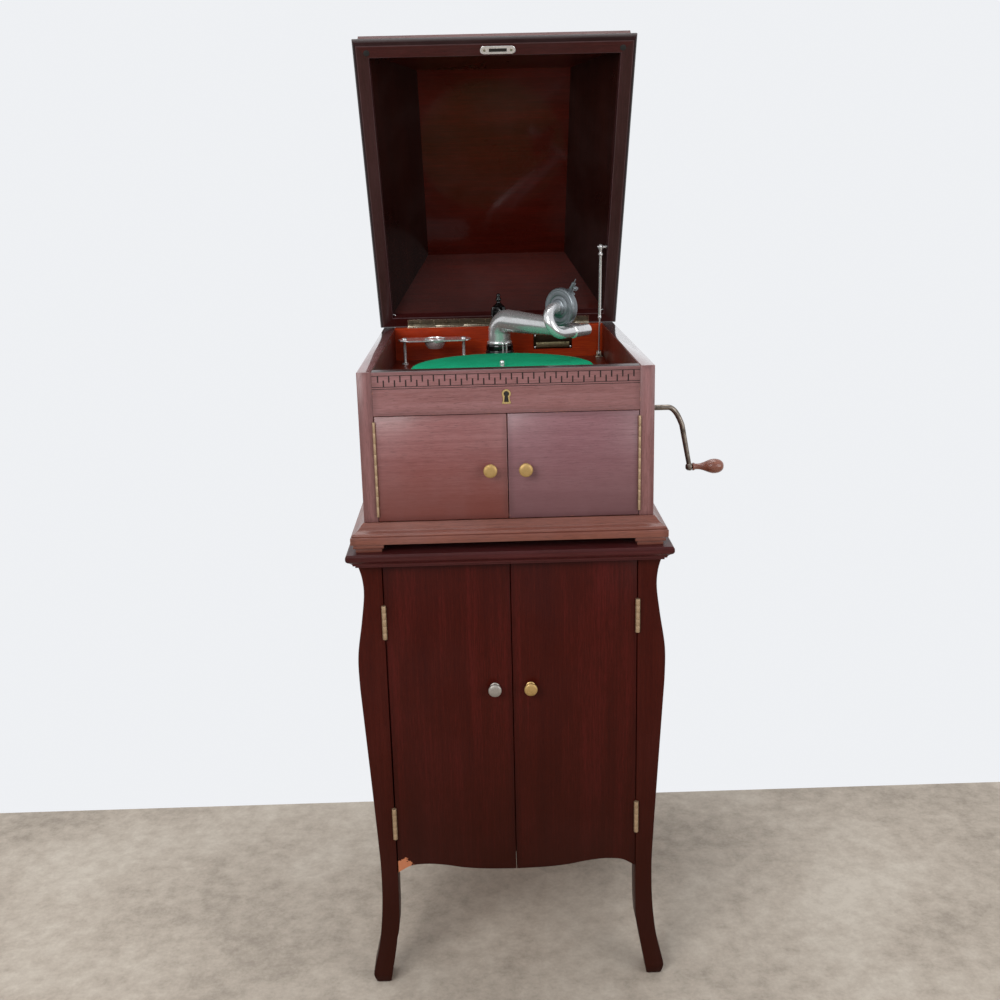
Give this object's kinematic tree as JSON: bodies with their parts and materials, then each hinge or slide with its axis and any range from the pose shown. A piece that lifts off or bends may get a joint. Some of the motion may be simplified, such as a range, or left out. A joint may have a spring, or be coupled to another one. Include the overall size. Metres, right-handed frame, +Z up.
{
  "type": "gramophone cabinet",
  "caption": "Wind-up gramophone in a wooden case with raised lid, felt turntable, folding tone arm and side crank, on a record cabinet with doors and curved legs.",
  "frame": {"origin": "middle of the whole object's outline at the bottom of the four legs, lid open and crank down", "axes": "+Z up, -Y towards the front with the doors, +X towards the side with the crank"},
  "size_m": [0.5666, 0.5866, 1.3808],
  "materials": {
    "mahogany": "satin red-brown varnish",
    "dark_mahogany": "dark polished varnish",
    "bare_wood": "unfinished",
    "felt": "bright green felt",
    "nickel": "aged nickel plate",
    "brass": "satin",
    "steel": "darkened",
    "cast_iron": "black japanned"
  },
  "bodies": {
    "cabinet": {"case_side_left": "mahogany", "case_side_right": "mahogany", "case_back": "mahogany", "front_rail": "mahogany", "plinth": "mahogany", "motor_board": "mahogany", "louvres": "mahogany", "stand_top": "dark_mahogany", "stand_leg_front_left": "dark_mahogany", "stand_leg_front_right": "dark_mahogany", "stand_leg_rear_left": "dark_mahogany", "stand_leg_rear_right": "dark_mahogany", "stand_side_left": "dark_mahogany", "stand_side_right": "dark_mahogany", "stand_back": "dark_mahogany", "record_rack": "bare_wood", "horn_flare": "bare_wood", "tone_arm_bracket": "nickel", "needle_tray": "nickel", "crank_escutcheon": "nickel", "lid_hinge_case_leaf": "nickel", "stay_bracket": "nickel", "key_escutcheon": "brass", "stand_hinge_upper_left_fixed": "brass", "stand_hinge_upper_right_fixed": "brass", "stand_hinge_lower_left_fixed": "brass", "stand_hinge_lower_right_fixed": "brass", "upper_hinge_left_fixed": "brass", "upper_hinge_right_fixed": "brass", "motor_frame": "cast_iron", "horn_elbow": "cast_iron"},
    "lid": {"lid_shell": "mahogany", "lid_hinge_lid_leaf": "nickel", "lock_strike": "nickel"},
    "stay_sleeve": {"lid_stay_sleeve": "nickel"},
    "stay_rod": {"lid_stay_rod": "nickel"},
    "upper_door_left": {"upper_door_left": "mahogany", "upper_knob_left": "brass", "upper_hinge_left_leaf": "brass"},
    "upper_door_right": {"upper_door_right": "mahogany", "upper_knob_right": "brass", "upper_hinge_right_leaf": "brass"},
    "stand_door_left": {"stand_door_left": "dark_mahogany", "stand_knob_left": "nickel", "stand_hinge_upper_left_leaf": "brass", "stand_hinge_lower_left_leaf": "brass"},
    "stand_door_right": {"stand_door_right": "dark_mahogany", "stand_knob_right": "brass", "stand_hinge_upper_right_leaf": "brass", "stand_hinge_lower_right_leaf": "brass"},
    "turntable": {"turntable": "nickel", "turntable_felt": "felt"},
    "tone_arm": {"tone_arm": "nickel"},
    "gooseneck": {"gooseneck": "nickel", "sound_box": "nickel"},
    "crank": {"crank": "steel"},
    "crank_handle": {"crank_handle": "mahogany"},
    "brake": {"brake_lever": "nickel"},
    "governor": {"governor": "brass"},
    "spring_barrel": {"spring_barrel": "steel"}
  },
  "joints": [
    {"name": "lid_hinge", "type": "hinge", "parent": "cabinet", "child": "lid", "pos_m": [-0.0588, 0.22972, 0.9335], "axis": [1, 0, 0], "range_deg": [0, 59.5]},
    {"name": "stay_pivot", "type": "hinge", "parent": "lid", "child": "stay_sleeve", "pos_m": [0.1122, 0.16467, 1.06463], "axis": [1, 0, 0], "range_deg": [-9, 0]},
    {"name": "stay_slide", "type": "slide", "parent": "stay_sleeve", "child": "stay_rod", "axis": [0, 0.18, -0.9837], "range_m": [-0.058, 0]},
    {"name": "upper_door_left_hinge", "type": "hinge", "parent": "cabinet", "child": "upper_door_left", "pos_m": [-0.2373, -0.26838, 0.8], "axis": [0, 0, -1], "range_deg": [0, 160]},
    {"name": "upper_door_right_hinge", "type": "hinge", "parent": "cabinet", "child": "upper_door_right", "pos_m": [0.1197, -0.26838, 0.8], "axis": [0, 0, 1], "range_deg": [0, 160]},
    {"name": "stand_door_left_hinge", "type": "hinge", "parent": "cabinet", "child": "stand_door_left", "pos_m": [-0.23655, -0.26888, 0.43], "axis": [0, 0, -1], "range_deg": [0, 160]},
    {"name": "stand_door_right_hinge", "type": "hinge", "parent": "cabinet", "child": "stand_door_right", "pos_m": [0.11895, -0.26888, 0.43], "axis": [0, 0, 1], "range_deg": [0, 160]},
    {"name": "turntable_spin", "type": "hinge", "parent": "cabinet", "child": "turntable", "pos_m": [-0.0588, -0.02622, 0.89], "axis": [0, 0, 1], "continuous": true},
    {"name": "tone_arm_swing", "type": "hinge", "parent": "cabinet", "child": "tone_arm", "pos_m": [-0.0588, 0.15272, 0.911], "axis": [0, 0, 1], "range_deg": [-35, 3]},
    {"name": "gooseneck_flip", "type": "hinge", "parent": "tone_arm", "child": "gooseneck", "pos_m": [0.06636, 0.02756, 0.9445], "axis": [0.7071, 0.7071, 0], "range_deg": [0, 114]},
    {"name": "crank_turn", "type": "hinge", "parent": "cabinet", "child": "crank", "pos_m": [0.1712, -0.03728, 0.831], "axis": [1, 0, 0], "continuous": true},
    {"name": "crank_handle_spin", "type": "hinge", "parent": "crank", "child": "crank_handle", "pos_m": [0.2297, -0.03728, 0.736], "axis": [1, 0, 0], "continuous": true},
    {"name": "brake_swing", "type": "hinge", "parent": "cabinet", "child": "brake", "pos_m": [0.07329, -0.15423, 0.883], "axis": [0, 0, 1], "range_deg": [-20, 20]},
    {"name": "governor_spin", "type": "hinge", "parent": "cabinet", "child": "governor", "pos_m": [-0.1088, -0.04222, 0.833], "axis": [1, 0, 0], "continuous": true},
    {"name": "barrel_spin", "type": "hinge", "parent": "cabinet", "child": "spring_barrel", "pos_m": [0.0112, -0.03728, 0.831], "axis": [1, 0, 0], "continuous": true}
  ],
  "couplings": [
    {"joint": "stay_pivot", "follows": "lid_hinge", "ratio": -0.12821},
    {"joint": "stay_slide", "follows": "lid_hinge", "m_per_rad": -0.052771},
    {"joint": "governor_spin", "follows": "turntable_spin", "ratio": 10},
    {"joint": "barrel_spin", "follows": "turntable_spin", "ratio": -0.05}
  ]
}
